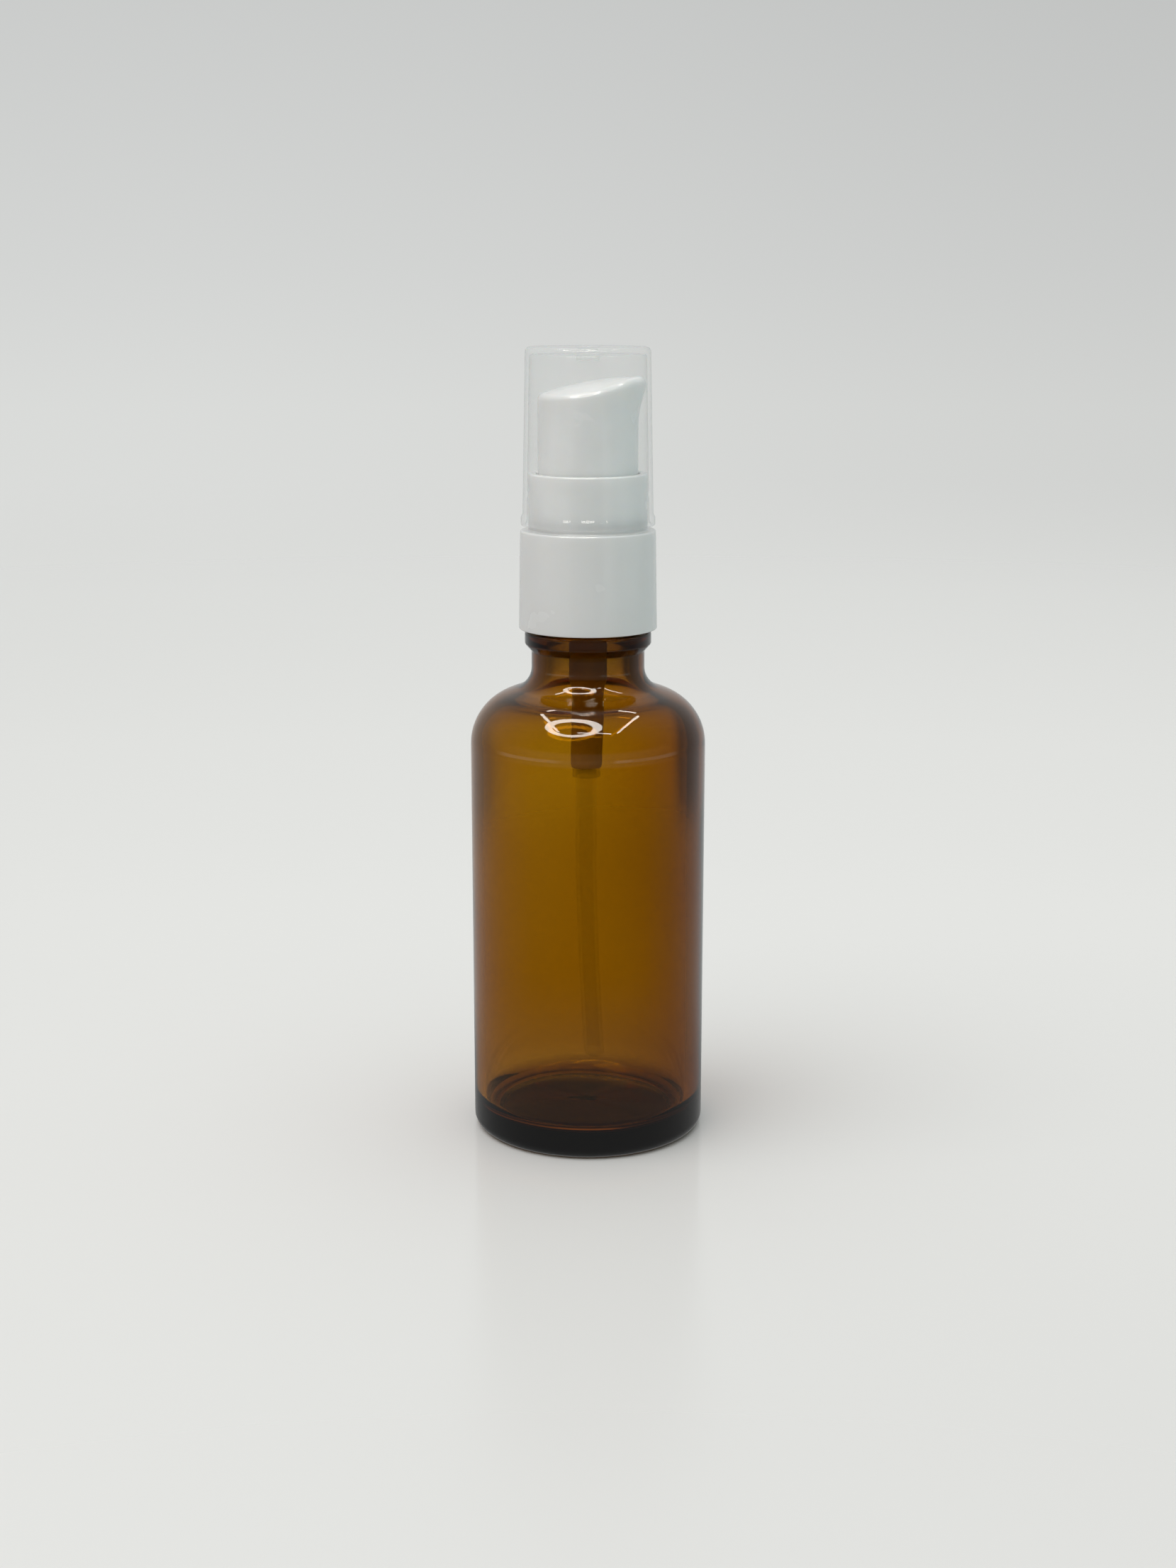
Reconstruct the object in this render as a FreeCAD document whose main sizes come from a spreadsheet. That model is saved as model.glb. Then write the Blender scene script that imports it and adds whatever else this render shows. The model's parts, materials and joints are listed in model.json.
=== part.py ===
"""Pump oil bottle: a 50 ml amber glass bottle with a screw-on treatment pump and a clear overcap.

Millimetres, +Z up. The origin is on the bottle's axis, on the surface that it stands on, and the
actuator's beak points along +X. Every turned piece is an outline of (radius, height) points turned
about Z. The driving dimensions are in the sheet Dims, and the outlines are bound to its cells.
"""
import FreeCAD, Part
import os
import re

import Sketcher

TOUCH = 0.002  # how near an edge lies to the place that it is looked up by

# Each driving dimension: name, size, what it is. Heights are above the floor.
DIMENSIONS = [
    ("body_radius", 18.6, "outside of the straight glass body"),
    ("glass_wall", 2.2, "glass thickness of body and shoulder"),
    ("floor_glass", 3.4, "height of the inside floor at the wall"),
    ("floor_round", 1.6, "rounding between the inside floor and the wall"),
    ("bearing_inner", 14.9, "inner radius of the ring that the bottle stands on"),
    ("push_up", 1.4, "height of the hollow under the floor's middle"),
    ("heel_round", 1.9, "rounding of the outer heel"),
    ("mould_line", 2.7, "height of the joint between base plate and body mould"),
    ("mould_depth", 0.08, "depth of that joint line"),
    ("cone_top", 73.17, "height where shoulder cone and neck would meet"),
    ("shoulder_slope", 21.2, "slope of the shoulder cone, degrees"),
    ("shoulder_round", 8.84, "rounding between body and shoulder"),
    ("throat_round", 3.65, "rounding between shoulder and neck"),
    ("neck_radius", 8.9, "outside of the plain neck and of its thread"),
    ("bead_radius", 9.95, "bead under the thread"),
    ("bead_bottom", 79.4, "underside of the bead"),
    ("bead_top", 81.35, "top of the bead"),
    ("core_radius", 8.0, "neck under the thread"),
    ("bore_radius", 6.6, "inside of the neck"),
    ("mouth_height", 92.5, "top of the glass"),
    ("thread_pitch", 3.0, "pitch of the neck thread"),
    ("thread_turns", 1.5, "turns of each thread"),
    ("thread_start", 85.2, "height of the middle of the glass thread's lower end"),
    ("thread_drop", 1.2, "how far the closure's thread sits under the glass thread"),
    ("gasket_thick", 0.87, "neck gasket"),
    ("gasket_radius", 7.75, "outside of the neck gasket"),
    ("flange_radius", 8.0, "flange of the pump housing"),
    ("flange_bottom", 93.4, "underside of that flange"),
    ("flange_thick", 0.8, "thickness of that flange"),
    ("deck_gap", 0.05, "play between the flange and the closure's deck"),
    ("deck_thick", 1.35, "closure's deck"),
    ("deck_hole", 4.0, "radius of the hole in the deck"),
    ("skirt_bottom", 81.75, "lower rim of the closure"),
    ("skirt_radius", 10.84, "closure at its lower rim"),
    ("skirt_top_radius", 10.57, "closure at its shoulder"),
    ("skirt_top", 97.15, "closure's shoulder"),
    ("skirt_bore", 9.15, "inside of the closure, at the root of its thread"),
    ("crest_radius", 8.25, "crest of the closure's thread"),
    ("ring_radius", 9.27, "ring on top of the closure"),
    ("ring_bore", 8.05, "inside of that ring"),
    ("ring_top", 105.9, "top of that ring"),
    ("chamber_radius", 2.35, "pump chamber"),
    ("chamber_bottom", 72.5, "where the chamber narrows"),
    ("spring_bore", 2.05, "housing round the spring"),
    ("ledge_height", 70.0, "ledge that the spring stands on"),
    ("barrel_radius", 3.0, "outside of the housing in the neck"),
    ("boot_radius", 2.575, "outside of the housing's lower end"),
    ("boot_bottom", 59.6, "lower end of the boot"),
    ("tail_radius", 2.25, "outside of the dip tube's socket"),
    ("tail_bottom", 58.1, "lower end of that socket"),
    ("socket_top", 65.2, "inner end of that socket"),
    ("cup_radius", 4.6, "outside of the cup in the housing's mouth"),
    ("cup_bore", 3.6, "inside of that cup"),
    ("cup_floor", 89.6, "floor of that cup"),
    ("seat_radius", 0.8, "inlet hole under the ball"),
    ("seat_height", 66.4, "lower edge of the ball's conical seat"),
    ("cage_radius", 1.4, "cage round the ball"),
    ("cage_lip", 1.05, "lip that keeps the ball in"),
    ("cage_top", 69.6, "underside of that lip"),
    ("ball_radius", 1.2, "inlet ball"),
    ("ball_height", 67.33, "middle of the inlet ball at rest"),
    ("vent_radius", 0.3, "hole that lets air into the bottle"),
    ("vent_height", 87.2, "height of that hole"),
    ("tube_radius", 1.65, "outside of the dip tube"),
    ("tube_bore", 1.05, "inside of the dip tube"),
    ("tube_top", 65.0, "upper end of the dip tube"),
    ("tube_straight_end", 42.0, "where the dip tube starts to curve"),
    ("tube_curve", 340.0, "radius of that curve"),
    ("tube_tip", 10.3, "lowest point of the dip tube"),
    ("tube_cut_rise", 3.6, "height of the slanting cut across its end"),
    ("stem_radius", 1.8, "outside of the stem"),
    ("stem_bore", 1.0, "inside of the stem"),
    ("stem_bottom", 84.0, "lower end of the stem"),
    ("stem_top", 111.0, "upper end of the stem"),
    ("collar_radius", 2.2, "collar that stops the stem at the guide"),
    ("collar_thick", 1.5, "thickness of that collar"),
    ("slip", 0.05, "radial play of the parts that slide or turn on each other"),
    ("guide_radius", 3.85, "stem guide where it passes the deck"),
    ("guide_top", 98.0, "top of the stem guide"),
    ("head_bottom", 78.5, "underside of the plunger's head"),
    ("head_radius", 1.95, "plunger's head"),
    ("head_rim", 79.2, "upper edge of the head's rim"),
    ("cone_tip", 80.0, "where the conical seat meets the rod"),
    ("rod_top", 86.5, "upper end of the plunger's rod"),
    ("spigot_radius", 1.2, "spigot that centres the spring"),
    ("spigot_bottom", 77.0, "lower end of the spigot"),
    ("flute_width", 0.5, "width of a flute in the plunger's rod"),
    ("flute_floor", 0.55, "distance of a flute's floor from the axis"),
    ("piston_bore", 1.06, "inside of the piston"),
    ("piston_bottom", 79.4, "lower lip of the piston"),
    ("piston_top", 83.0, "upper lip of the piston"),
    ("piston_waist", 2.05, "piston between its lips"),
    ("wire_radius", 0.2, "wire of the return spring"),
    ("coil_radius", 1.65, "middle of the wire from the axis"),
    ("coil_turns", 7.0, "turns of the return spring"),
    ("button_radius", 7.79, "actuator"),
    ("button_bottom", 104.0, "lower rim of the actuator"),
    ("button_bore", 6.7, "inside of the actuator's skirt"),
    ("button_ceiling", 115.8, "inside top of the actuator"),
    ("blank_top", 123.0, "height of the actuator before its crown is cut"),
    ("boss_radius", 2.8, "boss that takes the stem"),
    ("boss_bottom", 103.7, "lower end of that boss"),
    ("duct_radius", 0.9, "oil's way up through the boss"),
    ("outlet_radius", 0.75, "oil's way out through the beak"),
    ("outlet_height", 118.0, "height of the outlet"),
    ("beak_start", 114.4, "where the underside of the beak leaves the wall"),
    ("beak_reach", 8.9, "tip of the beak from the axis"),
    ("beak_radius", 3.2, "rounding of the beak in plan"),
    ("beak_tip", 119.0, "lower edge of the beak's tip"),
    ("crown_length", 48.5, "radius of the crown from end to end"),
    ("crown_across", 20.0, "radius of the crown from side to side"),
    ("crown_peak", 120.6, "highest point of the crown"),
    ("crown_peak_x", 8.2, "distance of that point from the axis"),
    ("crown_edge", 1.1, "rounding of the crown's edge"),
    ("cap_rim_bottom", 97.9, "lower rim of the overcap"),
    ("cap_rim_radius", 10.45, "overcap at that rim"),
    ("cap_skirt_top", 99.6, "where the overcap's thicker rim ends"),
    ("cap_low_radius", 10.17, "overcap just above that rim"),
    ("cap_top_radius", 9.66, "overcap at its top"),
    ("cap_top", 125.1, "top of the overcap"),
    ("cap_wall", 0.65, "overcap's wall"),
    ("cap_roof", 1.15, "overcap's top wall"),
    ("cap_round", 0.8, "rounding of the overcap's top edge"),
    ("cap_bead_radius", 9.34, "bead that grips the closure's ring"),
    ("cap_bead_height", 102.7, "height of that bead"),
    ("gate_radius", 1.8, "moulding gate's boss under the top"),
    ("gate_depth", 0.95, "how far that boss hangs down"),
]
NAMES = {name for name, size, meaning in DIMENSIONS}

doc = FreeCAD.newDocument("PumpOilBottle")
sheet = doc.addObject("Spreadsheet::Sheet", "Dims")
for row, (name, size, meaning) in enumerate(DIMENSIONS, 1):
    sheet.set("A%d" % row, name)
    sheet.set("B%d" % row, str(size))
    sheet.set("C%d" % row, meaning)
    sheet.setAlias("B%d" % row, name)
doc.recompute()


# ---------------------------------------------------------------- helpers

def bound(text):
    """An expression of dimension names, with each name turned into a reference to its cell."""
    return re.sub(r"[a-z_]+", lambda word: ("Dims." if word[0] in NAMES else "") + word[0], text)


def size_of(text):
    """The number that such an expression comes to."""
    return float(sheet.evalExpression(bound(text)))


def new_body(name):
    """A body whose Label is the name of the sub-part and of its file."""
    body = doc.addObject("PartDesign::Body", name + "_body")
    body.Label = name
    return body


def plane(body, role):
    """One of the body's own origin planes, such as XZ_Plane."""
    return next(item for item in body.Origin.OriginFeatures if item.Role == role)


def new_sketch(body, name, role="XZ_Plane", raised="0"):
    """An empty sketch on an origin plane, moved along the plane's normal by raised."""
    sketch = body.newObject("Sketcher::SketchObject", name)
    sketch.AttachmentSupport = [(plane(body, role), "")]
    sketch.MapMode = "FlatFace"
    if raised != "0":
        sketch.setExpression("AttachmentOffset.Base.z", bound(raised))
    return sketch


def constrain(sketch, kind, *arguments):
    """Adds one constraint. A size given as text, in last place, is bound to the sheet."""
    if not isinstance(arguments[-1], str):
        sketch.addConstraint(Sketcher.Constraint(kind, *arguments))
        return
    text = arguments[-1]
    number = sketch.addConstraint(Sketcher.Constraint(kind, *arguments[:-1], size_of(text)))
    sketch.setExpression("Constraints[%d]" % number, bound(text))


def pin(sketch, edge, end, across, up):
    """Places one end of an edge at two expressions, measured from the sketch's origin."""
    for kind, axis, text in (("DistanceX", -2, across), ("DistanceY", -1, up)):
        if text == "0":
            constrain(sketch, "PointOnObject", edge, end, axis)
        else:
            constrain(sketch, kind, -1, 1, edge, end, text)


def draw_outline(sketch, points):
    """A closed outline of straight lines through points, each a pair of expressions."""
    places = [FreeCAD.Vector(size_of(across), size_of(up), 0) for across, up in points]
    count = len(points)
    first = sketch.GeometryCount
    for index in range(count):
        line = Part.LineSegment(places[index], places[(index + 1) % count])
        sketch.addGeometry(line, False)
    for index, (across, up) in enumerate(points):
        constrain(sketch, "Coincident", first + index - 1 if index else first + count - 1, 2,
                  first + index, 1)
        pin(sketch, first + index, 1, across, up)


def finish_feature(body, feature):
    """Recomputes a new feature and makes it the body's result."""
    doc.recompute()
    body.Tip = feature
    return feature


def turned(name, points):
    """A body made by turning an outline of (radius, height) points about Z."""
    body = new_body(name)
    sketch = new_sketch(body, name + "_outline")
    draw_outline(sketch, points)
    feature = body.newObject("PartDesign::Revolution", name + "_turned")
    feature.Profile = sketch
    feature.ReferenceAxis = (sketch, ["V_Axis"])
    feature.Angle = 360.0
    finish_feature(body, feature)
    return body


def round_edges(body, radius, *places):
    """Rounds the circular edges that lie at the given (radius, height) places."""
    shape = body.Tip.Shape
    names = []
    for across, up in places:
        wanted = (size_of(across), size_of(up))
        found = [number for number, edge in enumerate(shape.Edges, 1)
                 if edge.Curve.TypeId == "Part::GeomCircle"
                 and abs(edge.Curve.Radius - wanted[0]) < TOUCH
                 and abs(edge.Curve.Center.z - wanted[1]) < TOUCH]
        if len(found) != 1:
            raise RuntimeError("%s has %d edges at %s, %s" % (body.Label, len(found), across, up))
        names.append("Edge%d" % found[0])
    fillet_edges(body, radius, names)


def fillet_edges(body, radius, names):
    """Rounds the named edges of the body's last feature."""
    number = sum(item.TypeId == "PartDesign::Fillet" for item in body.Group) + 1
    fillet = body.newObject("PartDesign::Fillet", "%s_round_%d" % (body.Label, number))
    fillet.Base = (body.Group[-2], names)
    fillet.setExpression("Radius", bound(radius))
    finish_feature(body, fillet)


def add_thread(body, points):
    """Adds a right-hand thread of the sheet's pitch and turns, with this section."""
    sketch = new_sketch(body, body.Label + "_thread_section")
    draw_outline(sketch, points)
    thread = body.newObject("PartDesign::AdditiveHelix", body.Label + "_thread")
    thread.Profile = sketch
    thread.ReferenceAxis = (sketch, ["V_Axis"])
    thread.Mode = "pitch-turns-angle"
    thread.setExpression("Pitch", bound("thread_pitch"))
    thread.setExpression("Turns", bound("thread_turns"))
    finish_feature(body, thread)


def cut_pocket(body, sketch, length, backwards=False):
    """Cuts a sketch through the body, and makes sure that it removed something."""
    before = body.Shape.Volume
    pocket = body.newObject("PartDesign::Pocket", sketch.Name + "_cut")
    pocket.Profile = sketch
    pocket.setExpression("Length", bound(length))
    pocket.Reversed = backwards
    finish_feature(body, pocket)
    if body.Shape.Volume > before - TOUCH:
        raise RuntimeError("%s cut nothing from %s" % (sketch.Name, body.Label))
    return pocket


# ---------------------------------------------------------------- the bottle

def make_glass_bottle():
    """Body, shoulder, neck with its bead and thread, and the hollow inside."""
    cone_base = "cone_top - (body_radius - neck_radius) * tan(shoulder_slope)"
    inner_cone_top = ("cone_top - glass_wall / cos(shoulder_slope)"
                      " + (neck_radius - bore_radius) * tan(shoulder_slope)")
    inner_cone_base = ("cone_top - glass_wall / cos(shoulder_slope)"
                       " - (body_radius - glass_wall - neck_radius) * tan(shoulder_slope)")
    inner_radius = "body_radius - glass_wall"
    body = turned("glass_bottle", [
        ("0", "push_up"),
        ("bearing_inner - 1.2", "0.6"),
        ("bearing_inner", "0"),
        ("body_radius", "0"),
        ("body_radius", "mould_line - mould_depth"),
        ("body_radius - mould_depth", "mould_line"),
        ("body_radius", "mould_line + mould_depth"),
        ("body_radius", cone_base),
        ("neck_radius", "cone_top"),
        ("neck_radius", "bead_bottom - 1.2"),
        ("neck_radius + 0.3", "bead_bottom - 0.85"),
        ("bead_radius", "bead_bottom"),
        ("bead_radius", "bead_top"),
        ("core_radius", "bead_top"),
        ("core_radius", "mouth_height"),
        ("bore_radius", "mouth_height"),
        ("bore_radius", inner_cone_top),
        (inner_radius, inner_cone_base),
        (inner_radius, "floor_glass"),
        ("0", "floor_glass + 0.6"),
    ])
    round_edges(body, "heel_round", ("body_radius", "0"))
    round_edges(body, "shoulder_round", ("body_radius", cone_base))
    round_edges(body, "throat_round", ("neck_radius", "cone_top"))
    round_edges(body, "shoulder_round - glass_wall", (inner_radius, inner_cone_base))
    round_edges(body, "throat_round + glass_wall", ("bore_radius", inner_cone_top))
    round_edges(body, "floor_round", (inner_radius, "floor_glass"))
    round_edges(body, "0.55", ("bead_radius", "bead_bottom"), ("bead_radius", "bead_top"))
    round_edges(body, "0.3", ("core_radius", "mouth_height"), ("bore_radius", "mouth_height"))
    root = "core_radius - 0.2"
    add_thread(body, [
        (root, "thread_start - 0.85"),
        ("core_radius", "thread_start - 0.85"),
        ("neck_radius", "thread_start - 0.4"),
        ("neck_radius", "thread_start + 0.4"),
        ("core_radius", "thread_start + 0.85"),
        (root, "thread_start + 0.85"),
    ])


# ---------------------------------------------------------------- what screws onto it

def make_closure():
    """Smooth skirt with a thread inside, a deck, and a ring round the actuator."""
    deck_bottom = "flange_bottom + flange_thick + deck_gap"
    snap_bottom = "flange_bottom - 0.45"
    body = turned("closure", [
        ("skirt_bore + 0.55", "skirt_bottom"),
        ("skirt_radius", "skirt_bottom"),
        ("skirt_top_radius", "skirt_top"),
        ("ring_radius", "skirt_top"),
        ("ring_radius", "ring_top"),
        ("ring_bore", "ring_top"),
        ("ring_bore", deck_bottom + " + deck_thick"),
        ("deck_hole", deck_bottom + " + deck_thick"),
        ("deck_hole", deck_bottom),
        ("flange_radius + 0.15", deck_bottom),
        ("flange_radius + 0.15", "flange_bottom - 0.05"),
        ("flange_radius - 0.15", "flange_bottom - 0.2"),
        ("flange_radius - 0.15", snap_bottom),
        ("skirt_bore", snap_bottom + " - 0.35"),
        ("skirt_bore", "skirt_bottom + 0.55"),
    ])
    round_edges(body, "0.45", ("skirt_top_radius", "skirt_top"))
    round_edges(body, "0.3", ("ring_radius", "ring_top"), ("ring_radius", "skirt_top"))
    round_edges(body, "0.2", ("ring_bore", "ring_top"), ("skirt_radius", "skirt_bottom"))
    middle = "thread_start - thread_drop"
    root = "skirt_bore + 0.2"
    add_thread(body, [
        (root, middle + " - 0.7"),
        ("skirt_bore", middle + " - 0.7"),
        ("crest_radius", middle + " - 0.3"),
        ("crest_radius", middle + " + 0.3"),
        ("skirt_bore", middle + " + 0.7"),
        (root, middle + " + 0.7"),
    ])


def make_neck_gasket():
    """Flat ring that seals the flange on the mouth of the bottle."""
    turned("neck_gasket", [
        ("cup_radius + 0.1", "flange_bottom - gasket_thick"),
        ("gasket_radius", "flange_bottom - gasket_thick"),
        ("gasket_radius", "flange_bottom"),
        ("cup_radius + 0.1", "flange_bottom"),
    ])


def make_overcap():
    """Clear drafted cap with a thicker rim, a gripping bead and the mark of its gate."""
    draft = "(cap_low_radius - cap_top_radius) / (cap_top - cap_skirt_top)"
    wall_at = "cap_top_radius - cap_wall + " + draft + " * (cap_top - (%s))"
    ceiling = "cap_top - cap_roof"
    bead_low = "cap_bead_height - 0.55"
    bead_high = "cap_bead_height + 0.55"
    body = turned("overcap", [
        ("0", "cap_top - 0.6"),
        ("gate_radius - 0.4", "cap_top - 0.6"),
        ("gate_radius - 0.2", "cap_top"),
        ("cap_top_radius", "cap_top"),
        ("cap_low_radius", "cap_skirt_top"),
        ("cap_rim_radius", "cap_skirt_top - 0.45"),
        ("cap_rim_radius", "cap_rim_bottom"),
        ("cap_rim_radius - cap_wall", "cap_rim_bottom"),
        (wall_at % "cap_skirt_top", "cap_rim_bottom + 0.9"),
        (wall_at % bead_low, bead_low),
        ("cap_bead_radius", "cap_bead_height - 0.2"),
        ("cap_bead_radius", "cap_bead_height + 0.2"),
        (wall_at % bead_high, bead_high),
        (wall_at % ceiling, ceiling),
        ("gate_radius", ceiling),
        ("gate_radius", ceiling + " - gate_depth"),
        ("0", ceiling + " - gate_depth"),
    ])
    round_edges(body, "cap_round", ("cap_top_radius", "cap_top"))
    round_edges(body, "0.4", (wall_at % ceiling, ceiling))
    round_edges(body, "0.2", ("cap_rim_radius", "cap_skirt_top - 0.45"),
                ("cap_rim_radius", "cap_rim_bottom"), ("gate_radius", ceiling + " - gate_depth"))


# ---------------------------------------------------------------- the actuator

def draw_beak(sketch):
    """Plan of the beak: a round tip and two sides that touch the actuator's cylinder."""
    tip_x = "beak_reach - beak_radius"
    lean = "(button_radius - beak_radius) / (beak_reach - beak_radius)"
    side = "sqrt(1 - (" + lean + ") ^ 2)"
    root_x = "(button_radius - 0.01) * " + lean
    root_y = "(button_radius - 0.01) * " + side
    centre = FreeCAD.Vector(size_of(tip_x), 0, 0)
    slope = FreeCAD.Vector(size_of(lean), size_of(side), 0)
    low = FreeCAD.Vector(slope.x, -slope.y, 0)
    reach = size_of("beak_radius")
    base = FreeCAD.Vector(size_of(root_x), size_of(root_y), 0)
    foot = FreeCAD.Vector(base.x, -base.y, 0)
    circle = Part.Circle(centre, FreeCAD.Vector(0, 0, 1), reach)
    turn = slope.getAngle(FreeCAD.Vector(1, 0, 0))
    sketch.addGeometry(Part.ArcOfCircle(circle, -turn, turn), False)
    sketch.addGeometry(Part.LineSegment(centre + slope * reach, base), False)
    sketch.addGeometry(Part.LineSegment(base, foot), False)
    sketch.addGeometry(Part.LineSegment(foot, centre + low * reach), False)
    constrain(sketch, "Tangent", 0, 2, 1, 1)
    constrain(sketch, "Coincident", 1, 2, 2, 1)
    constrain(sketch, "Coincident", 2, 2, 3, 1)
    constrain(sketch, "Tangent", 3, 2, 0, 1)
    pin(sketch, 0, 3, tip_x, "0")
    constrain(sketch, "Radius", 0, "beak_radius")
    pin(sketch, 2, 1, root_x, root_y)
    constrain(sketch, "Symmetric", 2, 1, 2, 2, -1)


def add_beak(body):
    """Pads the plan of the beak, then turns its underside to a cone round the actuator."""
    sketch = new_sketch(body, "beak_plan", "XY_Plane", "beak_start")
    draw_beak(sketch)
    pad = body.newObject("PartDesign::Pad", "beak")
    pad.Profile = sketch
    pad.setExpression("Length", bound("blank_top - beak_start"))
    finish_feature(body, pad)
    under = new_sketch(body, "beak_underside")
    draw_outline(under, [
        ("button_radius", "beak_start"),
        ("button_radius + 0.4", "beak_start + 2.1"),
        ("beak_reach + 0.05", "beak_tip"),
        ("beak_reach + 2", "beak_tip"),
        ("beak_reach + 2", "beak_start - 1"),
        ("button_radius + 0.4", "beak_start - 1"),
    ])
    groove = body.newObject("PartDesign::Groove", "beak_cone")
    groove.Profile = under
    groove.ReferenceAxis = (under, ["V_Axis"])
    groove.Angle = 360.0
    finish_feature(body, groove)


def cut_crown(body):
    """Cuts the crowned top: a large arc along the beak, turned about an axis below it."""
    half = size_of("beak_reach + 2")
    centre_z = size_of("crown_peak - crown_length")
    centre = FreeCAD.Vector(size_of("crown_peak_x"), centre_z, 0)
    circle = Part.Circle(centre, FreeCAD.Vector(0, 0, 1), size_of("crown_length"))

    def on_arc(x):
        return FreeCAD.Vector(x, centre.y + (circle.Radius ** 2 - (x - centre.x) ** 2) ** 0.5, 0)

    def angle_of(point):
        return (point - centre).getAngle(FreeCAD.Vector(1, 0, 0))

    left, right = on_arc(-half), on_arc(half)
    top = size_of("blank_top + 3")
    upper_left, upper_right = FreeCAD.Vector(-half, top, 0), FreeCAD.Vector(half, top, 0)
    sketch = new_sketch(body, "crown_outline")
    sketch.addGeometry(Part.ArcOfCircle(circle, angle_of(right), angle_of(left)), False)
    sketch.addGeometry(Part.LineSegment(left, upper_left), False)
    sketch.addGeometry(Part.LineSegment(upper_left, upper_right), False)
    sketch.addGeometry(Part.LineSegment(upper_right, right), False)
    constrain(sketch, "Coincident", 0, 2, 1, 1)
    constrain(sketch, "Coincident", 1, 2, 2, 1)
    constrain(sketch, "Coincident", 2, 2, 3, 1)
    constrain(sketch, "Coincident", 3, 2, 0, 1)
    pin(sketch, 0, 3, "crown_peak_x", "crown_peak - crown_length")
    constrain(sketch, "Radius", 0, "crown_length")
    constrain(sketch, "Vertical", 1)
    constrain(sketch, "Vertical", 3)
    pin(sketch, 2, 1, "-(beak_reach + 2)", "blank_top + 3")
    pin(sketch, 2, 2, "beak_reach + 2", "blank_top + 3")
    axis = Part.LineSegment(FreeCAD.Vector(-1, size_of("crown_peak - crown_across"), 0),
                            FreeCAD.Vector(1, size_of("crown_peak - crown_across"), 0))
    sketch.addGeometry(axis, True)
    pin(sketch, 4, 1, "-1", "crown_peak - crown_across")
    pin(sketch, 4, 2, "1", "crown_peak - crown_across")
    groove = body.newObject("PartDesign::Groove", "crown")
    groove.Profile = sketch
    groove.ReferenceAxis = (sketch, ["Axis0"])
    groove.Angle = 150.0
    groove.Midplane = True
    finish_feature(body, groove)


def make_actuator():
    """Finger button: skirt, boss for the stem, beak with the outlet, crowned top."""
    body = turned("actuator", [
        ("stem_radius + slip", "boss_bottom"),
        ("boss_radius", "boss_bottom"),
        ("boss_radius", "button_ceiling"),
        ("button_bore", "button_ceiling"),
        ("button_bore", "button_bottom"),
        ("button_radius", "button_bottom"),
        ("button_radius", "blank_top"),
        ("0", "blank_top"),
        ("0", "outlet_height + 0.3"),
        ("duct_radius", "outlet_height + 0.3"),
        ("duct_radius", "stem_top + slip"),
        ("stem_radius + slip", "stem_top + slip"),
    ])
    round_edges(body, "0.3", ("button_radius", "button_bottom"), ("boss_radius", "boss_bottom"))
    add_beak(body)
    cut_crown(body)
    crown = max(body.Shape.Faces, key=lambda face: face.CenterOfMass.z)
    rim = [number for number, edge in enumerate(body.Shape.Edges, 1)
           if any(edge.isSame(other) for other in crown.OuterWire.Edges)]
    fillet_edges(body, "crown_edge", ["Edge%d" % number for number in rim])
    sketch = new_sketch(body, "outlet", "YZ_Plane")
    sketch.addGeometry(Part.Circle(FreeCAD.Vector(0, size_of("outlet_height"), 0),
                                   FreeCAD.Vector(0, 0, 1), size_of("outlet_radius")), False)
    pin(sketch, 0, 3, "0", "outlet_height")
    constrain(sketch, "Radius", 0, "outlet_radius")
    cut_pocket(body, sketch, "beak_reach + 2", backwards=True)


# ---------------------------------------------------------------- the pump

def make_pump_housing():
    """Flange and cup in the mouth, chamber, spring bore, ball's cage and dip tube's socket."""
    body = turned("pump_housing", [
        ("tube_radius", "tail_bottom"),
        ("tail_radius", "tail_bottom"),
        ("tail_radius", "boot_bottom"),
        ("boot_radius", "boot_bottom"),
        ("boot_radius", "chamber_bottom - 1"),
        ("barrel_radius", "chamber_bottom + 1"),
        ("barrel_radius", "cup_floor - 1"),
        ("cup_radius", "cup_floor - 1"),
        ("cup_radius", "flange_bottom"),
        ("flange_radius", "flange_bottom"),
        ("flange_radius", "flange_bottom + flange_thick"),
        ("cup_bore", "flange_bottom + flange_thick"),
        ("cup_bore", "cup_floor"),
        ("chamber_radius", "cup_floor"),
        ("chamber_radius", "chamber_bottom"),
        ("spring_bore", "chamber_bottom - 0.3"),
        ("spring_bore", "ledge_height"),
        ("cage_lip", "ledge_height"),
        ("cage_lip", "cage_top"),
        ("cage_radius", "cage_top - 0.15"),
        ("cage_radius", "seat_height + cage_radius - seat_radius"),
        ("seat_radius", "seat_height"),
        ("seat_radius", "socket_top"),
        ("tube_radius", "socket_top"),
    ])
    round_edges(body, "0.25", ("boot_radius", "boot_bottom"), ("flange_radius", "flange_bottom"))
    sketch = new_sketch(body, "vent", "YZ_Plane")
    sketch.addGeometry(Part.Circle(FreeCAD.Vector(0, size_of("vent_height"), 0),
                                   FreeCAD.Vector(0, 0, 1), size_of("vent_radius")), False)
    pin(sketch, 0, 3, "0", "vent_height")
    constrain(sketch, "Radius", 0, "vent_radius")
    cut_pocket(body, sketch, "barrel_radius + 1", backwards=True)


def make_stem_guide():
    """Bush in the housing's cup: the stem slides in it, and its collar stops at it."""
    body = turned("stem_guide", [
        ("stem_radius + slip", "cup_floor"),
        ("cup_bore", "cup_floor"),
        ("cup_bore", "flange_bottom + flange_thick"),
        ("guide_radius", "flange_bottom + flange_thick"),
        ("guide_radius", "guide_top"),
        ("stem_radius + slip + 0.35", "guide_top"),
        ("stem_radius + slip", "guide_top - 0.35"),
    ])
    round_edges(body, "0.4", ("guide_radius", "guide_top"))


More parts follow.
